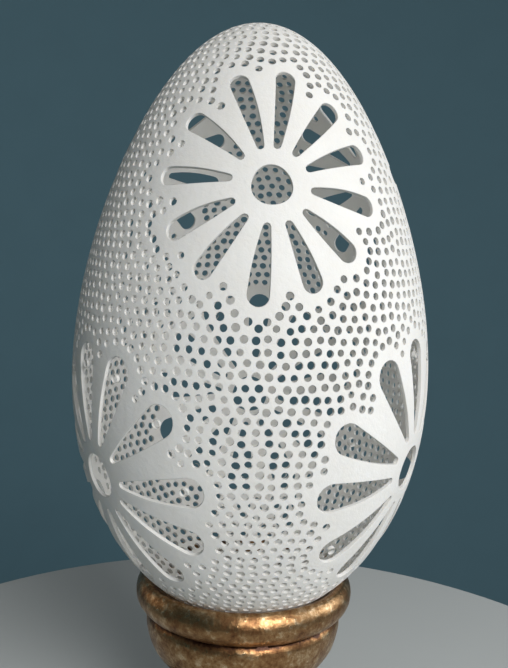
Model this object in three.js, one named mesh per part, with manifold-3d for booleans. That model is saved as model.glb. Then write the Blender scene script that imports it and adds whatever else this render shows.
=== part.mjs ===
// A blown and carved goose egg that stands, blunt end down, in a turned wooden stand.
// The shell is one piece. Daisies are cut right through it, so its empty inside shows.
// Millimetres, +Z up. The origin is the centre of the stand's foot, on the table.
// An azimuth of 0 degrees faces -Y and turns towards +X.
import * as THREE from 'three';
import { mergeVertices } from 'three/addons/utils/BufferGeometryUtils.js';
import Module from 'manifold-3d';

// Egg
const EGG_WIDTH = 54;
const EGG_LENGTH = 90;
const SHELL_THICKNESS = 0.5;
const BLOW_HOLE_RADIUS = 3.5;
// How the outline leaves an ellipse: the factors of u, u squared and u cubed, where u runs
// from -1 at the blunt end to 1 at the pointed end.
const OUTLINE_TERMS = [-0.192, -0.029, 0.049];
const EGG_SIDES = 24;
const EGG_RINGS = 14;

// Daisies in two rows, small above and large below. A reach is from a daisy's eye to a petal's tip.
const SMALL_DAISY = { reach: 15.5, petalStart: 5.1, petalWidth: 2.8, eyeRadius: 2.7 };
const LARGE_DAISY = { reach: 18.9, petalStart: 5.2, petalWidth: 4.4, eyeRadius: 3.2 };
const PETAL_ROOT_RADIUS = 0.5;
// The way each petal points, in degrees clockwise from straight up, as a hand cut them
const FRONT_WAYS = [345, 8, 35, 62, 94, 128, 157, 187, 219, 247, 281, 315];
const UPPER_RIGHT_WAYS = [15, 43, 71, 100, 133, 162, 192, 222, 252, 282, 312, 344];
const UPPER_LEFT_WAYS = [333, 306, 273, 240, 210, 180, 150, 120, 90, 60, 30, 2];
const LOWER_LEFT_WAYS = [22, 54, 91, 120, 149, 178, 208, 238, 268, 298, 327, 354];
const LOWER_RIGHT_WAYS = [328, 291, 261, 227, 200, 170, 140, 110, 80, 50, 22, 355];
const BACK_WAYS = [355, 25, 55, 85, 115, 145, 175, 205, 235, 265, 295, 325];
// The front daisy's petals are uneven, so each has its own reach
const FRONT_REACHES = [17.2, 17.4, 16.2, 15.7, 15.1, 14.5, 14.9, 16, 15.2, 15.1, 15.5, 15.6];
// Each daisy's height is from the middle of the egg to its eye
const DAISIES = [
  { ...SMALL_DAISY, height: 20.9, azimuth: 5.5, ways: FRONT_WAYS, reaches: FRONT_REACHES },
  { ...SMALL_DAISY, height: 22.5, azimuth: 116, ways: UPPER_RIGHT_WAYS },
  { ...SMALL_DAISY, height: 23.5, azimuth: -119, ways: UPPER_LEFT_WAYS },
  { ...LARGE_DAISY, height: -19.7, azimuth: -54, ways: LOWER_LEFT_WAYS },
  { ...LARGE_DAISY, height: -18, azimuth: 62.5, ways: LOWER_RIGHT_WAYS },
  { ...LARGE_DAISY, height: -15.5, azimuth: 180, ways: BACK_WAYS },
];
const EYE_SIDES = 12;
const PETAL_TIP_STEPS = 4;
const CUT_DEPTH = 8;

// Stand: radii and heights of its turned shapes, from the foot up
const FOOT_RADIUS = 20;
const FOOT_EDGE_RADIUS = 2;
const WAIST_RADIUS = 10.5;
// The lower bead is round above its widest height and a longer oval under it
const LOWER_BEAD = {
  reach: 15.3,
  height: 23.1,
  over: { wide: 3.5, tall: 2.7 },
  under: { wide: 7.8, tall: 8.6 },
};
const UPPER_BEAD = { reach: 17, height: 27.6, radius: 3.1 };
// Where each bead runs into the groove between them, in degrees up from straight out
const GROOVE_ANGLES = { lower: 34, upper: -75 };
const STAND_SIDES = 24;
const STEPS = { footEdge: 4, cove: 4, under: 6, over: 3, upperBead: 12, egg: 36 };

// The egg's blunt end sinks into the dished top of the stand, with this gap all over the seat
const EGG_FOOT_HEIGHT = 24;
const SEAT_GAP = 0.3;

const EGG_MIDDLE = EGG_FOOT_HEIGHT + EGG_LENGTH / 2;

const wasm = await Module();
wasm.setup();

// The egg's outline before it is scaled to the egg's width
function outlineShape(u) {
  const [first, second, third] = OUTLINE_TERMS;
  return Math.sqrt(Math.max(0, 1 - u * u)) * (1 + first * u + second * u ** 2 + third * u ** 3);
}

const WIDEST_SHAPE = Math.max(...Array.from({ length: 401 }, (_, i) => outlineShape(i / 200 - 1)));

// Radius of the egg's surface, or of a surface offset inwards from it, at a height z
function eggRadius(z, offset = 0) {
  const u = (z - EGG_MIDDLE) / (EGG_LENGTH / 2 - offset);
  return Math.abs(u) > 1 ? 0 : ((EGG_WIDTH / 2 - offset) * outlineShape(u)) / WIDEST_SHAPE;
}

// Points of that surface's outline, from the blunt end towards the pointed end
function eggOutline(offset, rings) {
  return Array.from({ length: rings + 1 }, (_, i) => {
    const z = EGG_MIDDLE - (EGG_LENGTH / 2 - offset) * Math.cos((Math.PI * i) / rings);
    return new THREE.Vector2(eggRadius(z, offset), z);
  });
}

// Points of a round or oval sweep, with angles in degrees
function sweep(centre, wide, tall, from, to, steps) {
  return Array.from({ length: steps + 1 }, (_, i) => {
    const angle = THREE.MathUtils.degToRad(from + ((to - from) * i) / steps);
    return new THREE.Vector2(centre.x + wide * Math.cos(angle), centre.y + tall * Math.sin(angle));
  });
}

// A body turned about +Z from an outline of (radius, height) points
function turned(outline, sides) {
  return new THREE.LatheGeometry(outline, sides).rotateX(Math.PI / 2);
}

// A solid to cut or be cut, from a closed geometry
function solidOf(geometry) {
  geometry.deleteAttribute('normal');
  geometry.deleteAttribute('uv');
  const merged = mergeVertices(geometry);
  const corners = merged.index.array;
  const kept = [];
  for (let i = 0; i < corners.length; i += 3) {
    const [a, b, c] = corners.slice(i, i + 3);
    if (a !== b && b !== c && c !== a) kept.push(a, b, c);
  }
  const vertProperties = new Float32Array(merged.attributes.position.array);
  return new wasm.Manifold(new wasm.Mesh({ numProp: 3, vertProperties, triVerts: new Uint32Array(kept) }));
}

function geometryOf(solid) {
  const { vertProperties, triVerts } = solid.getMesh();
  const geometry = new THREE.BufferGeometry();
  geometry.setAttribute('position', new THREE.BufferAttribute(vertProperties, 3));
  geometry.setIndex(new THREE.BufferAttribute(triVerts, 1));
  geometry.computeVertexNormals();
  return geometry;
}

// The way out of the egg at a point on it
function outwards(point) {
  const step = 0.01;
  const slope = (eggRadius(point.z + step) - eggRadius(point.z - step)) / (2 * step);
  const radius = Math.hypot(point.x, point.y);
  return new THREE.Vector3(point.x / radius, point.y / radius, -slope).normalize();
}

// Steps off a straight distance from a point on the egg, as a pair of compasses would
function compassStep(from, way, distance) {
  const out = outwards(from);
  const landing = new THREE.Vector3();
  const halvings = 40;
  let shallow = 0;
  let steep = Math.PI / 3;
  for (let i = 0; i < halvings; i += 1) {
    const dip = (shallow + steep) / 2;
    landing.copy(from).addScaledVector(way, distance * Math.cos(dip));
    landing.addScaledVector(out, -distance * Math.sin(dip));
    if (Math.hypot(landing.x, landing.y) > eggRadius(landing.z)) shallow = dip;
    else steep = dip;
  }
  return landing;
}

// A cutter whose flat outline lies across the shell at a point, with its own X along a given way
function cutter(outline, point, along) {
  const out = outwards(point);
  const across = new THREE.Vector3().crossVectors(out, along).normalize();
  const inLine = new THREE.Vector3().crossVectors(across, out);
  const shape = new THREE.Shape(outline);
  const geometry = new THREE.ExtrudeGeometry(shape, { depth: CUT_DEPTH, bevelEnabled: false });
  geometry.translate(0, 0, -CUT_DEPTH / 2);
  geometry.applyMatrix4(new THREE.Matrix4().makeBasis(inLine, across, out).setPosition(point));
  return solidOf(geometry);
}

// A drop with its narrow root at -halfLength and its wide round tip at +halfLength
function petalOutline(halfLength, tipRadius) {
  const side = 90 + THREE.MathUtils.radToDeg(Math.asin((tipRadius - PETAL_ROOT_RADIUS) / (2 * halfLength)));
  return [
    ...sweep({ x: halfLength, y: 0 }, tipRadius, tipRadius, -side, side, PETAL_TIP_STEPS),
    ...sweep({ x: -halfLength, y: 0 }, PETAL_ROOT_RADIUS, PETAL_ROOT_RADIUS, side, 360 - side, 1),
  ];
}

function daisyCutters({ height, reach, petalStart, petalWidth, eyeRadius, azimuth, ways, reaches }) {
  const turn = THREE.MathUtils.degToRad(azimuth);
  const z = EGG_MIDDLE + height;
  const centre = new THREE.Vector3(Math.sin(turn), -Math.cos(turn), 0).multiplyScalar(eggRadius(z)).setZ(z);
  const right = new THREE.Vector3(Math.cos(turn), Math.sin(turn), 0);
  const up = new THREE.Vector3().crossVectors(outwards(centre), right);
  const rootAt = petalStart + PETAL_ROOT_RADIUS;
  const petalCutters = ways.map((degrees, i) => {
    const tipAt = (reaches?.[i] ?? reach) - petalWidth / 2;
    const angle = THREE.MathUtils.degToRad(degrees);
    const way = up.clone().multiplyScalar(Math.cos(angle)).addScaledVector(right, Math.sin(angle));
    const along = compassStep(centre, way, tipAt).sub(compassStep(centre, way, rootAt));
    const outline = petalOutline(along.length() / 2, petalWidth / 2);
    return cutter(outline, compassStep(centre, way, (rootAt + tipAt) / 2), along);
  });
  const eyeOutline = sweep({ x: 0, y: 0 }, eyeRadius, eyeRadius, 0, 360, EYE_SIDES).slice(1);
  return [cutter(eyeOutline, centre, up), ...petalCutters];
}

function eggShell() {
  const blowHole = new THREE.CylinderGeometry(BLOW_HOLE_RADIUS, BLOW_HOLE_RADIUS, CUT_DEPTH, EYE_SIDES);
  blowHole.rotateX(Math.PI / 2).translate(0, 0, EGG_FOOT_HEIGHT);
  let shell = solidOf(turned(eggOutline(0, EGG_RINGS), EGG_SIDES));
  shell = shell.subtract(solidOf(turned(eggOutline(SHELL_THICKNESS, EGG_RINGS), EGG_SIDES)));
  shell = shell.subtract(solidOf(blowHole));
  for (const cut of DAISIES.flatMap(daisyCutters)) shell = shell.subtract(cut);
  const material = new THREE.MeshStandardMaterial({ color: 0xeceae4, roughness: 0.75, metalness: 0 });
  return new THREE.Mesh(geometryOf(shell), material);
}

function stand() {
  const edge = FOOT_EDGE_RADIUS;
  const footTop = { x: FOOT_RADIUS - edge, y: 2 * edge };
  const { reach, height, over, under } = LOWER_BEAD;
  const underCentre = { x: reach - under.wide, y: height };
  const overCentre = { x: reach - over.wide, y: height };
  const waistAngle = -THREE.MathUtils.radToDeg(Math.acos((WAIST_RADIUS - underCentre.x) / under.wide));
  const lowerBead = [
    ...sweep(underCentre, under.wide, under.tall, waistAngle, 0, STEPS.under),
    ...sweep(overCentre, over.wide, over.tall, 0, GROOVE_ANGLES.lower, STEPS.over).slice(1),
  ];
  const waist = lowerBead[0];
  const cove = { centre: { x: footTop.x, y: waist.y }, wide: footTop.x - waist.x, tall: waist.y - footTop.y };
  const upperRound = UPPER_BEAD.radius;
  const upperCentre = { x: UPPER_BEAD.reach - upperRound, y: UPPER_BEAD.height };
  const upperBead = sweep(upperCentre, upperRound, upperRound, GROOVE_ANGLES.upper, 90, STEPS.upperBead);
  const clearOfEgg = ({ x, y }) => x > eggRadius(y, -SEAT_GAP);
  const rim = upperBead.filter(clearOfEgg);
  const belowRim = ({ y }) => y < rim.at(-1).y;
  const outline = [
    new THREE.Vector2(0, 0),
    ...sweep({ x: footTop.x, y: edge }, edge, edge, -90, 90, STEPS.footEdge),
    ...sweep(cove.centre, cove.wide, cove.tall, 270, 180, STEPS.cove).slice(1),
    ...lowerBead.slice(1),
    ...rim,
    ...eggOutline(-SEAT_GAP, STEPS.egg).filter(belowRim).reverse(),
  ];
  const material = new THREE.MeshStandardMaterial({ color: 0x7a5a33, roughness: 0.4, metalness: 0.7 });
  return new THREE.Mesh(turned(outline, STAND_SIDES), material);
}

const carvedEgg = new THREE.Group();
for (const [name, mesh] of Object.entries({ egg_shell: eggShell(), stand: stand() })) {
  mesh.name = name;
  carvedEgg.add(mesh);
}
export default carvedEgg;
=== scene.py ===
import math

import bpy
import numpy as np
from mathutils import Euler, Matrix, Vector, noise
from mathutils.geometry import delaunay_2d_cdt
from numpy.polynomial import Polynomial


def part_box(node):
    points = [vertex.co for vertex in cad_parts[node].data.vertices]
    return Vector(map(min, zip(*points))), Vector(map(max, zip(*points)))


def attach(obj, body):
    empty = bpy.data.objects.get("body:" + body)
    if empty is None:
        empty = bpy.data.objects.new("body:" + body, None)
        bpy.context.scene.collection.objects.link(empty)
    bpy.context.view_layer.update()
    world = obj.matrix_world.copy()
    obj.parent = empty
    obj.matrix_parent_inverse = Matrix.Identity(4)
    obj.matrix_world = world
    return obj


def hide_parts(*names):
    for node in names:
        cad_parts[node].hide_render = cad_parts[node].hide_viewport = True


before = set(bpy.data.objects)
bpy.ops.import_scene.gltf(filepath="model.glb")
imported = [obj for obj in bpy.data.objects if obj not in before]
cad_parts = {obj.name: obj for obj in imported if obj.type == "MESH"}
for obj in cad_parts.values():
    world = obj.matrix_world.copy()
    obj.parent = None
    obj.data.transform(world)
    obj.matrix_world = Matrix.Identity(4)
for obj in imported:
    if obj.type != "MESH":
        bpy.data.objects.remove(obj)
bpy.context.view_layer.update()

# Carved eggshell
# A goose egg, blown empty through a hole in its blunt end: one piece of white shell half a millimetre
# thick. Six daisies are sawn right through it, three small ones over three large ones, and the ground
# between them is drilled all over with small round holes. It rests blunt end down in the stand.
MM = 0.001  # lengths are given in millimetres, and meshes are made in metres
EGG_WIDTH = 54
EGG_LENGTH = 90
SHELL_THICKNESS = 0.5
BLOW_HOLE_RADIUS = 3.5
# How the outline leaves an ellipse: the factors of u, u squared and u cubed, where u runs
# from -1 at the blunt end to 1 at the pointed end
OUTLINE_TERMS = (-0.192, -0.029, 0.049)
OUTLINE_SAMPLES = 2001
CLOSING_ROUNDS = 4  # how often a point is brought nearer the egg before it counts as on it
EGG_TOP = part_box("egg_shell")[1].z / MM
EGG_MIDDLE = EGG_TOP - EGG_LENGTH / 2

outline_squared = Polynomial([1, 0, -1]) * Polynomial([1, *OUTLINE_TERMS]) ** 2
widest_squared = outline_squared(np.linspace(-1, 1, OUTLINE_SAMPLES)).max()
radius_squared = outline_squared * (EGG_WIDTH / 2) ** 2 / widest_squared
radius_squared_slope = radius_squared.deriv() / (EGG_LENGTH / 2)


def up_the_egg(z):
    """How far up the egg a height is, from -1 at the blunt end to 1 at the pointed end."""
    return np.clip((z - EGG_MIDDLE) / (EGG_LENGTH / 2), -1, 1)


def egg_radius(z):
    return np.sqrt(radius_squared(up_the_egg(z)))


def away_from_egg(points):
    """The way straight off the egg at each point, as long as the point is far from the axis."""
    away = np.array(points, float)
    away[..., 2] = -radius_squared_slope(up_the_egg(away[..., 2])) / 2
    return away


def unit(ways):
    return ways / np.linalg.norm(ways, axis=-1, keepdims=True)


def outwards(points):
    return unit(away_from_egg(points))


def onto_egg(points):
    """Brings points that are near the egg's outside onto it."""
    for _ in range(CLOSING_ROUNDS):
        away = away_from_egg(points)
        excess = (points[..., 0] ** 2 + points[..., 1] ** 2 - radius_squared(up_the_egg(points[..., 2]))) / 2
        points = points - away * (excess / (away**2).sum(-1))[..., None]
    return points


STEEPEST_DIP = math.pi / 3
HALVINGS = 40


def compass_step(start, way, distance):
    """Steps off a straight distance from a point on the egg, as a pair of compasses would."""
    out = outwards(start)
    shallow = 0
    steep = STEEPEST_DIP
    for _ in range(HALVINGS):
        dip = (shallow + steep) / 2
        landing = start + distance * (math.cos(dip) * way - math.sin(dip) * out)
        if math.hypot(landing[0], landing[1]) > egg_radius(landing[2]):
            shallow = dip
        else:
            steep = dip
    return landing


# Daisies: a reach is from a daisy's eye to a petal's tip
SMALL_DAISY = {"reach": 15.5, "petal_start": 5.1, "petal_width": 2.8, "eye_radius": 2.7}
LARGE_DAISY = {"reach": 18.9, "petal_start": 5.2, "petal_width": 4.4, "eye_radius": 3.2}
PETAL_ROOT_RADIUS = 0.5
# The way each petal points, in degrees clockwise from straight up, as a hand cut them
FRONT_WAYS = (345, 8, 35, 62, 94, 128, 157, 187, 219, 247, 281, 315)
UPPER_RIGHT_WAYS = (15, 43, 71, 100, 133, 162, 192, 222, 252, 282, 312, 344)
UPPER_LEFT_WAYS = (333, 306, 273, 240, 210, 180, 150, 120, 90, 60, 30, 2)
LOWER_LEFT_WAYS = (22, 54, 91, 120, 149, 178, 208, 238, 268, 298, 327, 354)
LOWER_RIGHT_WAYS = (328, 291, 261, 227, 200, 170, 140, 110, 80, 50, 22, 355)
BACK_WAYS = (355, 25, 55, 85, 115, 145, 175, 205, 235, 265, 295, 325)
# The front daisy's petals are uneven, so each has its own reach
FRONT_REACHES = (17.2, 17.4, 16.2, 15.7, 15.1, 14.5, 14.9, 16, 15.2, 15.1, 15.5, 15.6)
# A height is from the middle of the egg to the eye, and an azimuth of 0 faces -Y and turns towards +X
DAISIES = (
    {**SMALL_DAISY, "height": 20.9, "azimuth": 5.5, "ways": FRONT_WAYS, "reaches": FRONT_REACHES},
    {**SMALL_DAISY, "height": 22.5, "azimuth": 116, "ways": UPPER_RIGHT_WAYS},
    {**SMALL_DAISY, "height": 23.5, "azimuth": -119, "ways": UPPER_LEFT_WAYS},
    {**LARGE_DAISY, "height": -19.7, "azimuth": -54, "ways": LOWER_LEFT_WAYS},
    {**LARGE_DAISY, "height": -18, "azimuth": 62.5, "ways": LOWER_RIGHT_WAYS},
    {**LARGE_DAISY, "height": -15.5, "azimuth": 180, "ways": BACK_WAYS},
)
PETAL_TIP_STEPS = 11
PETAL_ROOT_STEPS = 4
PETAL_SIDE_STEPS = 9
EYE_STEPS = 36
PETAL_BELLY = 0.16
# How much one petal differs from the next
PETAL_HAND = {"width": 0.05, "reach": 0.12, "belly": 0.08, "bend": 0.14}
EYE_WOBBLE = 0.07
EYE_LOBES = 3
LIP_ROUNDING = 0.09
carver = np.random.default_rng(11)


def arc(centre, radius, start, end, steps):
    turn = np.linspace(start, end, steps + 1)
    return np.stack([centre[0] + radius * np.cos(turn), centre[1] + radius * np.sin(turn)], axis=1)


def petal_outline(half_length, tip_radius, belly, bend):
    """A drop with its narrow root at -half_length and its wide round tip at +half_length."""
    side = math.pi / 2 + math.asin((tip_radius - PETAL_ROOT_RADIUS) / (2 * half_length))
    tip = arc((half_length, 0), tip_radius, -side, side, PETAL_TIP_STEPS)
    root = arc((-half_length, 0), PETAL_ROOT_RADIUS, side, 2 * math.pi - side, PETAL_ROOT_STEPS)
    share = np.linspace(0, 1, PETAL_SIDE_STEPS + 1)[1:-1, None]
    swell = belly * np.sin(np.pi * share) * np.array([math.cos(side), math.sin(side)])
    upper = tip[-1] + (root[0] - tip[-1]) * share + swell
    lower = root[-1] + (tip[0] - root[-1]) * share + swell * np.array([1, -1])
    outline = np.concatenate([tip, upper, root, lower])
    outline[:, 1] += bend * (1 - (outline[:, 0] / half_length) ** 2)
    return outline


def widened(outline, by):
    ahead = unit(np.roll(outline, -1, axis=0) - np.roll(outline, 1, axis=0))
    return outline + by * np.stack([ahead[:, 1], -ahead[:, 0]], axis=1)


def laid_on_egg(outline, centre, along):
    """A flat outline laid on the egg round a centre, with its own X along a given way."""
    out = outwards(centre)
    across = unit(np.cross(out, along))
    in_line = np.cross(across, out)
    return onto_egg(centre + outline[:, :1] * in_line + outline[:, 1:] * across)


def sawn(outline, centre, along):
    """An opening sawn square through the shell, with its outer edge rubbed a little round."""
    wall = laid_on_egg(outline, centre, along)
    out = outwards(wall)
    return {
        "lip": laid_on_egg(widened(outline, LIP_ROUNDING), centre, along),
        "wall": wall - LIP_ROUNDING * out,
        "foot": wall - SHELL_THICKNESS * out,
    }


def daisy_centre(daisy):
    turn = math.radians(daisy["azimuth"])
    z = EGG_MIDDLE + daisy["height"]
    radius = egg_radius(z)
    return np.array([radius * math.sin(turn), -radius * math.cos(turn), z])


def daisy_openings(daisy):
    turn = math.radians(daisy["azimuth"])
    centre = daisy_centre(daisy)
    right = np.array([math.cos(turn), math.sin(turn), 0])
    up = np.cross(outwards(centre), right)
    root_at = daisy["petal_start"] + PETAL_ROOT_RADIUS
    openings = []
    reaches = daisy.get("reaches", [daisy["reach"]] * len(daisy["ways"]))
    for degrees, reach in zip(daisy["ways"], reaches):
        width = daisy["petal_width"] * (1 + PETAL_HAND["width"] * carver.uniform(-1, 1))
        tip_at = reach + PETAL_HAND["reach"] * carver.uniform(-1, 1) - width / 2
        belly = PETAL_BELLY + PETAL_HAND["belly"] * carver.uniform(-1, 1)
        bend = PETAL_HAND["bend"] * carver.uniform(-1, 1)
        way = math.cos(math.radians(degrees)) * up + math.sin(math.radians(degrees)) * right
        along = compass_step(centre, way, tip_at) - compass_step(centre, way, root_at)
        outline = petal_outline(np.linalg.norm(along) / 2, width / 2, belly, bend)
        openings.append(sawn(outline, compass_step(centre, way, (root_at + tip_at) / 2), along))
    eye = arc((0, 0), daisy["eye_radius"], 0, 2 * math.pi, EYE_STEPS)[1:]
    eye_turn = np.linspace(0, 2 * math.pi, EYE_STEPS)
    eye *= 1 + EYE_WOBBLE / daisy["eye_radius"] * np.cos(EYE_LOBES * eye_turn)[:, None]
    return [sawn(eye, centre, up), *openings]


daisy_cuts = [opening for daisy in DAISIES for opening in daisy_openings(daisy)]
daisy_edges = np.concatenate([opening["lip"][::2] for opening in daisy_cuts])

# Drilled dots: marked out in rows round the egg and then shifted to fill the ground evenly
DOT_RADIUS = 0.54
DOT_SPACING = 1.66
DOT_SIDES = 12
# How unevenly a hand marks a dot out, places it and drills it
DOT_HAND = {"start": 0.26, "place": 0.06, "radius": 0.06}
WIDEST_SLIP = 2
DOT_TO_PETAL = 2.15
NEAREST_TO_PETAL = 0.9 * DOT_TO_PETAL
NOTCH_SHARE = 0.84  # how near a daisy's eye a dot may stand, as a share of the daisy's reach
NEAREST_SHARE = 0.95 * NOTCH_SHARE
SMALLEST_GAP = 0.1
CLOSEST_DOTS = 1.22
LOWEST_DOT = 27.5
TOP_ROW = 0.95
SHIFTING = {"rounds": 16, "reach": 1.6 * DOT_SPACING, "strength": 0.5}
PARTING = {"rounds": 6, "reach": 1.05 * CLOSEST_DOTS, "strength": 1}
DRILL_START = (0.3, 0.2, 1)  # a way that no dot faces, from which its ring of points is begun
MERIDIAN_SAMPLES = 4001

meridian_turn = np.linspace(0, math.pi, MERIDIAN_SAMPLES)
meridian_z = EGG_MIDDLE + EGG_LENGTH / 2 * np.cos(meridian_turn)
meridian_radius = egg_radius(meridian_z)
meridian_steps = np.hypot(np.diff(meridian_radius), np.diff(meridian_z))
meridian_length = np.concatenate([[0], np.cumsum(meridian_steps)])


def rows_round_egg(first, spacing, lowest, marker):
    """Points in rows round the egg from the pointed end down, each row begun at a chance place."""
    rows = []
    for length in np.arange(first, meridian_length[-1], spacing * math.sqrt(3) / 2):
        z = np.interp(length, meridian_length, meridian_z)
        if z < lowest:
            break
        radius = egg_radius(z)
        count = max(3, round(2 * math.pi * radius / spacing))
        turn = 2 * math.pi * (np.arange(count) + marker.uniform()) / count
        rows.append(np.stack([radius * np.sin(turn), -radius * np.cos(turn), np.full(count, z)], axis=1))
    return np.concatenate(rows)


def gaps_between(points, others):
    """The straight distances from each point to each of the others."""
    points = points.astype(np.float32)
    others = others.astype(np.float32)
    squares = (points**2).sum(1)[:, None] + (others**2).sum(1) - 2 * points @ others.T
    return np.sqrt(np.maximum(squares, 0))


def clear_of_daisies(dots):
    """Moves dots off the daisies, to the distance that dots keep from the petals."""
    for daisy in DAISIES:
        centre = daisy_centre(daisy)
        offset = dots - centre
        gap = np.linalg.norm(offset, axis=1)
        keep = daisy["reach"] * NOTCH_SHARE
        inside = gap < keep
        dots[inside] += offset[inside] * (keep / np.maximum(gap[inside], SMALLEST_GAP) - 1)[:, None]
    gap = gaps_between(dots, daisy_edges)
    nearest = gap.argmin(1)
    close = np.flatnonzero(gap.min(1) < DOT_TO_PETAL)
    offset = dots[close] - daisy_edges[nearest[close]]
    dots[close] += unit(offset) * (DOT_TO_PETAL - np.linalg.norm(offset, axis=1))[:, None]
    return onto_egg(dots)


def shifted_apart(dots, reach, strength):
    gap = gaps_between(dots, dots)
    first, second = np.nonzero((gap < reach) & (gap > 0))
    push = (1 - gap[first, second] / reach) ** 2
    moves = np.zeros_like(dots)
    np.add.at(moves, first, unit(dots[first] - dots[second]) * push[:, None])
    return onto_egg(dots + strength * moves)


def far_from_daisies(dots):
    far = gaps_between(dots, daisy_edges).min(1) > NEAREST_TO_PETAL
    for daisy in DAISIES:
        gap = np.linalg.norm(dots - daisy_centre(daisy), axis=1)
        far &= gap > NEAREST_SHARE * daisy["reach"]
    return far


def dot_places():
    driller = np.random.default_rng(5)
    dots = rows_round_egg(TOP_ROW, DOT_SPACING, LOWEST_DOT, driller)
    dots = onto_egg(dots + driller.normal(0, DOT_HAND["start"], dots.shape))
    dots = dots[far_from_daisies(dots)]
    for _ in range(SHIFTING["rounds"]):
        dots = clear_of_daisies(shifted_apart(dots, SHIFTING["reach"], SHIFTING["strength"]))
    dots = onto_egg(dots + driller.normal(0, DOT_HAND["place"], dots.shape))
    for _ in range(PARTING["rounds"]):
        dots = shifted_apart(dots, PARTING["reach"], PARTING["strength"])
    gap = gaps_between(dots, dots) + np.tri(len(dots)) * EGG_LENGTH
    return dots[far_from_daisies(dots) & (gap.min(0) > CLOSEST_DOTS)]


def drilled(centre, radius):
    """A round hole drilled through the shell, its wall square to the surface."""
    out = outwards(centre)
    ring = arc((0, 0), radius, 0, 2 * math.pi, DOT_SIDES)[1:]
    lip = laid_on_egg(ring, centre, np.cross(out, DRILL_START))
    return {"lip": lip, "wall": lip, "foot": lip - SHELL_THICKNESS * out}


dots = dot_places()
slips = carver.normal(0, 1, len(dots)).clip(-WIDEST_SLIP, WIDEST_SLIP)
dot_radii = DOT_RADIUS * (1 + DOT_HAND["radius"] * slips)
dot_holes = [drilled(centre, radius) for centre, radius in zip(dots, dot_radii)]

egg_bottom = EGG_TOP - EGG_LENGTH
blow_hole = drilled(np.array([0, 0, egg_bottom]), BLOW_HOLE_RADIUS)
openings = daisy_cuts + dot_holes + [blow_hole]

# Points on the plain shell, so that it stays round where nothing is cut
PLAIN_SPACING = 1.7
PLAIN_TOP_ROW = 0.1
PLAIN_TO_LIP = 0.75
PLAIN_TO_BLOW_HOLE = 1
FLAT_TOLERANCE = 1e-7
SMALLEST_RADIUS = 1e-9

plain = rows_round_egg(PLAIN_TOP_ROW, PLAIN_SPACING, egg_bottom, np.random.default_rng(3))
from_axis = np.hypot(plain[:, 0], plain[:, 1])
plain = plain[(plain[:, 2] > EGG_MIDDLE) | (from_axis > BLOW_HOLE_RADIUS + PLAIN_TO_BLOW_HOLE)]
lips = np.concatenate([opening["lip"] for opening in openings])
plain = plain[gaps_between(plain, lips).min(1) > PLAIN_TO_LIP]


def flattened(points):
    """The egg opened out flat from its pointed end, with every small shape kept true."""
    steps = meridian_steps[1:] * 2 / (meridian_radius[2:] + meridian_radius[1:-1] + SMALLEST_RADIUS)
    growth = np.concatenate([[0, 0], np.cumsum(steps)])
    turn = np.arccos(up_the_egg(points[:, 2]))
    spread = np.exp(np.interp(turn, meridian_turn, growth))
    return spread[:, None] * unit(points[:, :2])


def shell_faces():
    """Triangles of the shell between its openings, as numbers of the lips' points and the plain ones."""
    flat = flattened(np.concatenate([lips, plain]))
    first = np.cumsum([0] + [len(opening["lip"]) for opening in openings])
    rims = [list(range(start, end)) for start, end in zip(first[:-2], first[1:-1])]
    made = delaunay_2d_cdt([Vector(point) for point in flat], [], rims, 0, FLAT_TOLERANCE, True)
    number = np.array([origin[0] for origin in made[3]])
    kept = [face for face, origin in zip(made[2], made[5]) if not origin]
    return number[np.array(kept)]


def wall_ways(opening):
    """The way each point of an opening's wall faces, into the opening."""
    wall = opening["wall"]
    ahead = np.roll(wall, -1, axis=0) - np.roll(wall, 1, axis=0)
    return unit(np.cross(outwards(wall), ahead))


def strip(upper, lower):
    """Triangles of a closed strip between two rings of point numbers, facing into the ring."""
    next_upper = np.roll(upper, -1)
    next_lower = np.roll(lower, -1)
    return np.concatenate(
        [np.stack([upper, next_upper, next_lower], axis=1), np.stack([upper, next_lower, lower], axis=1)]
    )


OUTSIDE, SAWN_EDGE, INSIDE = range(3)
outer = np.concatenate([lips, plain])
inner = np.concatenate(
    [*[opening["foot"] for opening in openings], plain - SHELL_THICKNESS * outwards(plain)]
)
walls = np.concatenate([opening["wall"] for opening in openings])
inner_at = len(outer)
wall_at = inner_at + len(inner)
shell_points = np.concatenate([outer, inner, walls])
out = outwards(outer)
into_openings = np.concatenate([wall_ways(opening) for opening in openings])

ground = shell_faces()
faces = [ground, ground[:, ::-1] + inner_at]
ways = [out[ground], -out[ground[:, ::-1]]]
finishes = [np.full(len(ground), OUTSIDE), np.full(len(ground), INSIDE)]
begin = 0
for opening in openings:
    ring = begin + np.arange(len(opening["lip"]))
    begin += len(ring)
    if opening["wall"] is opening["lip"]:
        edge = strip(ring, ring + inner_at)
        faces.append(edge)
        ways.append(into_openings[edge % inner_at])
    else:
        rounding = strip(ring, ring + wall_at)
        edge = strip(ring + wall_at, ring + inner_at)
        faces += [rounding, edge]
        on_lip = rounding < inner_at
        point = np.where(on_lip, rounding, rounding - wall_at)
        ways.append(np.where(on_lip[..., None], out[point], into_openings[point]))
        finishes.append(np.full(len(rounding), SAWN_EDGE))
        ways.append(into_openings[np.where(edge >= wall_at, edge - wall_at, edge - inner_at)])
    finishes.append(np.full(len(edge), SAWN_EDGE))
faces = np.concatenate(faces)
ways = np.concatenate(ways)
finishes = np.concatenate(finishes)

shell_mesh = bpy.data.meshes.new("carved_eggshell")
shell_mesh.from_pydata(shell_points * MM, [], faces)
shell_mesh.polygons.foreach_set("material_index", finishes)
shell_mesh.polygons.foreach_set("use_smooth", np.ones(len(faces), bool))
shell_mesh.normals_split_custom_set(ways.reshape(-1, 3))
eggshell = bpy.data.objects.new("carved_eggshell", shell_mesh)
bpy.context.scene.collection.objects.link(eggshell)


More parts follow.
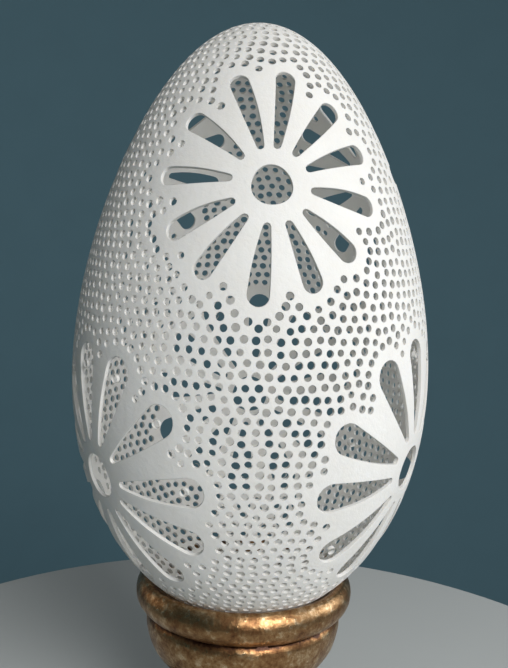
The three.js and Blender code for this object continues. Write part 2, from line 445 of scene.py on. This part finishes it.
def new_finish(name):
    """A material with its own node tree, as (material, node maker, linker, shader)."""
    finish = bpy.data.materials.new(name)
    finish.use_nodes = True
    tree = finish.node_tree
    return finish, tree.nodes.new, tree.links.new, tree.nodes["Principled BSDF"]


def speckle(new, link, size, detail, roughness):
    """A noise texture fixed to the object, with marks of about the given size in millimetres."""
    place = new("ShaderNodeTexCoord")
    marks = new("ShaderNodeTexNoise")
    marks.inputs["Scale"].default_value = 1 / (size * MM)
    marks.inputs["Detail"].default_value = detail
    marks.inputs["Roughness"].default_value = roughness
    link(place.outputs["Object"], marks.inputs["Vector"])
    return marks.outputs["Fac"]


def colours_by(new, link, amount, stops):
    """A colour that follows an amount through (place, colour) stops."""
    ramp = new("ShaderNodeValToRGB")
    elements = ramp.color_ramp.elements
    while len(elements) < len(stops):
        elements.new(0.5)
    for element, (place, colour) in zip(elements, stops):
        element.position = place
        element.color = (*colour, 1)
    link(amount, ramp.inputs["Fac"])
    return ramp.outputs["Color"]


def bumps(new, link, height, depth, over=None):
    """Relief of a depth in millimetres, on top of any other relief."""
    relief = new("ShaderNodeBump")
    relief.inputs["Distance"].default_value = depth * MM
    link(height, relief.inputs["Height"])
    if over is not None:
        link(over, relief.inputs["Normal"])
    return relief.outputs["Normal"]


def shell_finish(name, pale, dull, grain, dimple, roughness):
    """Chalky shell: two near tones in soft clouds, fine pores, and shallow dimples between them."""
    finish, new, link, shader = new_finish(name)
    clouds = speckle(new, link, size=6, detail=5, roughness=0.6)
    link(colours_by(new, link, clouds, [(0.35, dull), (0.65, pale)]), shader.inputs["Base Color"])
    shader.inputs["Roughness"].default_value = roughness
    shader.inputs["Specular IOR Level"].default_value = 0.3
    shader.inputs["Subsurface Weight"].default_value = 0.25
    shader.inputs["Subsurface Radius"].default_value = (1, 0.9, 0.75)
    shader.inputs["Subsurface Scale"].default_value = 0.6 * MM
    pits = speckle(new, link, size=0.9, detail=2, roughness=0.5)
    pores = speckle(new, link, size=0.22, detail=3, roughness=0.6)
    dimples = bumps(new, link, pits, dimple)
    link(bumps(new, link, pores, grain, dimples), shader.inputs["Normal"])
    return finish


# In the order of OUTSIDE, SAWN_EDGE and INSIDE, with grain and dimples in millimetres
SHELL_LOOKS = {
    "shell_outside": {
        "pale": (0.84, 0.835, 0.815), "dull": (0.80, 0.79, 0.765),
        "grain": 0.025, "dimple": 0.06, "roughness": 0.55,
    },
    # Sawn and drilled walls are painted a little darker than the outside: painted shade on the lit walls
    "shell_sawn_edge_painted_shade": {
        "pale": (0.77, 0.765, 0.745), "dull": (0.72, 0.71, 0.685),
        "grain": 0.02, "dimple": 0.01, "roughness": 0.75,
    },
    # The inside is painted paler than the outside: painted light for the light coming through the shell
    "shell_inside_painted_light": {
        "pale": (0.95, 0.94, 0.915), "dull": (0.92, 0.905, 0.875),
        "grain": 0.02, "dimple": 0.02, "roughness": 0.7,
    },
}
for name, look in SHELL_LOOKS.items():
    shell_mesh.materials.append(shell_finish(name, **look))
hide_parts("egg_shell")
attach(eggshell, "root")

# Stand
# Turned from one block of wood: a round foot, a narrow waist and two fat beads, the upper one dished
# to hold the egg's blunt end. It is painted dark brown, then gilded by hand and rubbed back, so the
# gold is streaky and speckled and the brown shows in the pits. The gold is also made darker in a narrow
# band along the groove between the beads.
FOOT_RADIUS = 20
FOOT_EDGE_RADIUS = 2
WAIST_RADIUS = 10.5
# The lower bead is round above its widest height and a longer oval under it, as (wide, tall) pairs
LOWER_BEAD = {"reach": 15.3, "height": 23.1, "over": (3.5, 2.7), "under": (7.8, 8.6)}
UPPER_BEAD = {"reach": 17, "height": 27.6, "radius": 3.1}
# Where each bead runs into the groove between them, in degrees up from straight out
GROOVE_ANGLES = {"lower": 34, "upper": -75}
GROOVE_HEIGHT = 24.6
GROOVE_SPREAD = 0.55
RIM_ANGLE = 120  # past the top of the upper bead, and more than the egg leaves of it
SEAT_GAP = 0.3
SEAT_TURN = 0.6
SEAT_STEPS = 60
STAND_SIDES = 224
STAND_STEP = 0.45
UNDERSIDE_STEP = 1.0
FLAT_BELOW = 0.5  # up to this height the foot stays free of lumps
PAINT_LUMPS = ((3.2, 0.06), (1.1, 0.03))  # sizes and heights of the unevenness under the gold
SPECK_SHARE = 0.55
# How much darker the gold is made in the narrow band along the groove
GROOVE_DARKENING = -0.4
# From bare brown paint through thin gold to full gold, by how much gold is left
GILT_TONES = (
    (0.46, (0.045, 0.016, 0.007)),
    (0.62, (0.20, 0.092, 0.036)),
    (0.80, (0.40, 0.235, 0.11)),
    (0.96, (0.68, 0.51, 0.32)),
)


def oval(centre, wide, tall, start, end):
    """Points of a round or oval sweep, with angles in degrees."""
    steps = max(3, round(math.radians(abs(end - start)) * max(wide, tall) / STAND_STEP))
    turn = np.radians(np.linspace(start, end, steps + 1))
    return np.stack([centre[0] + wide * np.cos(turn), centre[1] + tall * np.sin(turn)], axis=1)


def stand_outline():
    """The turned outline as (radius, height) points, from under the foot up and into the seat."""
    edge = FOOT_EDGE_RADIUS
    foot_top = (FOOT_RADIUS - edge, 2 * edge)
    across = np.arange(0, FOOT_RADIUS - edge, UNDERSIDE_STEP)
    underside = np.stack([across, np.zeros_like(across)], axis=1)
    reach = LOWER_BEAD["reach"]
    height = LOWER_BEAD["height"]
    wide, tall = LOWER_BEAD["under"]
    waist_angle = -math.degrees(math.acos((WAIST_RADIUS - reach + wide) / wide))
    lower_under = oval((reach - wide, height), wide, tall, waist_angle, 0)
    wide, tall = LOWER_BEAD["over"]
    lower_over = oval((reach - wide, height), wide, tall, 0, GROOVE_ANGLES["lower"])
    waist_height = lower_under[0, 1]
    cove = oval(
        (foot_top[0], waist_height), foot_top[0] - WAIST_RADIUS, waist_height - foot_top[1], 270, 180
    )
    round_size = UPPER_BEAD["radius"]
    upper_centre = (UPPER_BEAD["reach"] - round_size, UPPER_BEAD["height"])
    rim = oval(upper_centre, round_size, round_size, GROOVE_ANGLES["upper"], RIM_ANGLE)
    seat_z = EGG_MIDDLE + (EGG_LENGTH / 2 + SEAT_GAP) * -np.cos(np.linspace(0, SEAT_TURN, SEAT_STEPS))
    seat_growth = (EGG_WIDTH / 2 + SEAT_GAP) / (EGG_WIDTH / 2)
    seat_height = EGG_MIDDLE + (seat_z - EGG_MIDDLE) * EGG_LENGTH / (EGG_LENGTH + 2 * SEAT_GAP)
    seat = np.stack([egg_radius(seat_height) * seat_growth, seat_z], axis=1)
    clear = rim[:, 0] > np.interp(rim[:, 1], seat[:, 1], seat[:, 0])
    rim = rim[: clear.argmin()]
    seat = seat[seat[:, 1] < rim[-1, 1]][::-1]
    return np.concatenate([
        underside,
        oval((foot_top[0], edge), edge, edge, -90, 90),
        cove[1:],
        lower_under[1:],
        lower_over[1:],
        rim,
        seat,
    ])


def spun(pairs, turn):
    """Turns (radius, height) pairs round the axis, as one ring of points for each pair."""
    radius = pairs[:, :1]
    height = np.repeat(pairs[:, 1:], len(turn), axis=1)
    return np.stack([radius * np.cos(turn), radius * np.sin(turn), height], axis=2)


def turned_stand():
    outline = stand_outline()
    turn = np.linspace(0, 2 * math.pi, STAND_SIDES, endpoint=False)
    rings = spun(outline, turn)
    ahead = np.gradient(outline, axis=0)
    facing = spun(unit(np.stack([ahead[:, 1], -ahead[:, 0]], axis=1)), turn)
    lumps = np.zeros(rings.shape[:2])
    for size, height in PAINT_LUMPS:
        lumps += height * np.array([[noise.noise(Vector(spot) / size) for spot in ring] for ring in rings])
    lumps[outline[:, 1] < FLAT_BELOW] = 0
    points = (rings + facing * lumps[..., None])[1:].reshape(-1, 3)
    rows = len(outline) - 1
    index = np.arange(rows * STAND_SIDES).reshape(rows, STAND_SIDES)
    beside = np.roll(index, -1, axis=1)
    quads = np.stack([index[:-1], beside[:-1], beside[1:], index[1:]], axis=2).reshape(-1, 4)
    caps = [index[0][::-1].tolist(), index[-1].tolist()]
    mesh = bpy.data.meshes.new("turned_stand")
    mesh.from_pydata(points * MM, [], quads.tolist() + caps)
    mesh.polygons.foreach_set("use_smooth", np.ones(len(mesh.polygons), bool))
    # A narrow band along the groove, where the gold is made darker
    recess = mesh.attributes.new("recess", "FLOAT", "POINT")
    depth = np.exp(-(((points[:, 2] - GROOVE_HEIGHT) / GROOVE_SPREAD) ** 2))
    recess.data.foreach_set("value", depth.astype(np.float32))
    return mesh


def scaled_onto(new, link, amount, factor, ground):
    """An amount scaled by a factor and laid on top of another amount."""
    total = new("ShaderNodeMath")
    total.operation = "MULTIPLY_ADD"
    link(amount, total.inputs[0])
    total.inputs[1].default_value = factor
    link(ground, total.inputs[2])
    return total.outputs["Value"]


def stretched(new, link, amount, given, wanted):
    """An amount moved from one range to another, both as (low, high) pairs."""
    move = new("ShaderNodeMapRange")
    link(amount, move.inputs["Value"])
    for end, value in zip(("From Min", "From Max", "To Min", "To Max"), (*given, *wanted)):
        move.inputs[end].default_value = value
    return move.outputs["Result"]


def gilding():
    """Worn gold over dark brown paint: the gold thins out in streaks and specks, and is made darker along
    the groove.
    """
    finish, new, link, shader = new_finish("antique_gold")
    streaks = speckle(new, link, size=2.2, detail=7, roughness=0.7)
    specks = speckle(new, link, size=0.8, detail=4, roughness=0.65)
    recess = new("ShaderNodeAttribute")
    recess.attribute_name = "recess"
    wear = scaled_onto(new, link, specks, SPECK_SHARE, streaks)
    # The gold is made darker in a narrow band along the groove between the beads
    gold = scaled_onto(new, link, recess.outputs["Fac"], GROOVE_DARKENING, wear)
    link(colours_by(new, link, gold, GILT_TONES), shader.inputs["Base Color"])
    link(stretched(new, link, gold, (0.5, 0.75), (0.7, 1)), shader.inputs["Metallic"])
    link(stretched(new, link, specks, (0.3, 0.7), (0.40, 0.25)), shader.inputs["Roughness"])
    brush_marks = bumps(new, link, streaks, depth=0.12)
    link(bumps(new, link, specks, depth=0.06, over=brush_marks), shader.inputs["Normal"])
    return finish


stand_mesh = turned_stand()
stand_mesh.materials.append(gilding())
stand = bpy.data.objects.new("turned_stand", stand_mesh)
bpy.context.scene.collection.objects.link(stand)
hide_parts("stand")
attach(stand, "root")

# Floor and backdrop
# A pale round table top with a rounded edge, painted matt, for the stand to rest on. A plain slate wall
# stands all round it, well back, with its own floor far below, so that every side has the same backdrop.
TABLE_RADIUS = 85
TABLE_THICKNESS = 6
TABLE_EDGE_RADIUS = 2
TABLE_EDGE_STEPS = 6
TABLE_SIDES = 128
TABLE_COLOUR = (0.56, 0.59, 0.59)
WALL_RADIUS = 900
WALL_HEIGHT = 900
WALL_FOOT = -360
WALL_SIDES = 64
WALL_COLOUR = (0.19, 0.34, 0.41)
INNERMOST_RADIUS = 1
SHADE = 0.97  # the darker of each colour's two tones, as a share of the paler


def turned_stage(name, outline, sides, colour, roughness):
    turn = np.linspace(0, 2 * math.pi, sides, endpoint=False)
    points = [(r * math.cos(t), r * math.sin(t), z) for r, z in outline for t in turn]
    index = np.arange(len(points)).reshape(len(outline), sides)
    beside = np.roll(index, -1, axis=1)
    quads = np.stack([index[:-1], beside[:-1], beside[1:], index[1:]], axis=2).reshape(-1, 4).tolist()
    mesh = bpy.data.meshes.new(name)
    mesh.from_pydata(np.array(points) * MM, [], quads + [index[-1].tolist()])
    mesh.polygons.foreach_set("use_smooth", np.ones(len(mesh.polygons), bool))
    finish, new, link, shader = new_finish(name)
    tones = [(0.3, tuple(SHADE * part for part in colour)), (0.7, colour)]
    clouds = speckle(new, link, size=40, detail=3, roughness=0.5)
    link(colours_by(new, link, clouds, tones), shader.inputs["Base Color"])
    shader.inputs["Roughness"].default_value = roughness
    mesh.materials.append(finish)
    piece = bpy.data.objects.new(name, mesh)
    bpy.context.scene.collection.objects.link(piece)


edge_centre = (TABLE_RADIUS - TABLE_EDGE_RADIUS, -TABLE_EDGE_RADIUS)
table_edge = arc(edge_centre, TABLE_EDGE_RADIUS, 0, math.pi / 2, TABLE_EDGE_STEPS)
table_outline = [(TABLE_RADIUS, -TABLE_THICKNESS), *table_edge.tolist(), (INNERMOST_RADIUS, 0)]
wall_outline = [(WALL_RADIUS, WALL_HEIGHT), (WALL_RADIUS, WALL_FOOT), (INNERMOST_RADIUS, WALL_FOOT)]
turned_stage("table_top", table_outline, TABLE_SIDES, TABLE_COLOUR, roughness=0.6)
turned_stage("slate_wall", wall_outline, WALL_SIDES, WALL_COLOUR, roughness=0.9)

# Light
# A large soft window to the front right, another to the right, and a weak warm light from the left, as
# from a wall that throws some back. A faint even light from the room fills the rest.
AIM = Vector((0, 0, 62)) * MM
LIGHT_SIZE = 300


def soft_light(name, azimuth, elevation, distance, power, colour):
    light = bpy.data.lights.new(name, "AREA")
    light.shape = "DISK"
    light.size = LIGHT_SIZE * MM
    light.energy = power
    light.color = colour
    lamp = bpy.data.objects.new(name, light)
    turn = math.radians(azimuth)
    rise = math.radians(elevation)
    way = Vector((math.sin(turn) * math.cos(rise), -math.cos(turn) * math.cos(rise), math.sin(rise)))
    lamp.location = AIM + way * distance * MM
    lamp.rotation_mode = "QUATERNION"
    lamp.rotation_quaternion = way.to_track_quat("Z", "Y")
    bpy.context.scene.collection.objects.link(lamp)


soft_light("window", azimuth=27, elevation=24, distance=520, power=2.65, colour=(1, 0.99, 0.97))
soft_light("right_window", azimuth=95, elevation=12, distance=560, power=1.1, colour=(0.97, 0.985, 1))
soft_light("warm_wall", azimuth=-105, elevation=8, distance=520, power=0.12, colour=(1, 0.74, 0.52))

room = bpy.data.worlds.new("room")
room.use_nodes = True
room_light = room.node_tree.nodes["Background"]
room_light.inputs["Color"].default_value = (0.9, 0.88, 0.84, 1)
room_light.inputs["Strength"].default_value = 0.12
bpy.context.scene.world = room

# Camera
# Close in front and a little above the egg's middle, looking slightly down, and held a little askew.
# Its focal length is given in pixels of a picture as tall as the photograph.
PICTURE_HEIGHT = 668
CAMERA_DISTANCE = 135
CAMERA_ABOVE_MIDDLE = 16.2
CAMERA_HEIGHT = EGG_MIDDLE + CAMERA_ABOVE_MIDDLE
CAMERA_PITCH = math.radians(7.25)
CAMERA_ROLL = math.radians(1.77)
CAMERA_TURN = math.radians(-0.175)
FOCAL_PIXELS = 884.6
SENSOR_WIDTH = 36
NEAREST_SEEN = 10

camera_data = bpy.data.cameras.new("camera")
camera_data.sensor_width = SENSOR_WIDTH
camera_data.lens = FOCAL_PIXELS * SENSOR_WIDTH / PICTURE_HEIGHT
camera_data.clip_start = NEAREST_SEEN * MM
camera = bpy.data.objects.new("camera", camera_data)
camera.location = Vector((0, -CAMERA_DISTANCE, CAMERA_HEIGHT)) * MM
aim = Euler((math.pi / 2 - CAMERA_PITCH, 0, CAMERA_TURN)).to_matrix()
camera.rotation_euler = (aim @ Matrix.Rotation(CAMERA_ROLL, 3, "Z")).to_euler()
bpy.context.scene.collection.objects.link(camera)
bpy.context.scene.camera = camera
bpy.context.scene.view_settings.view_transform = "Standard"
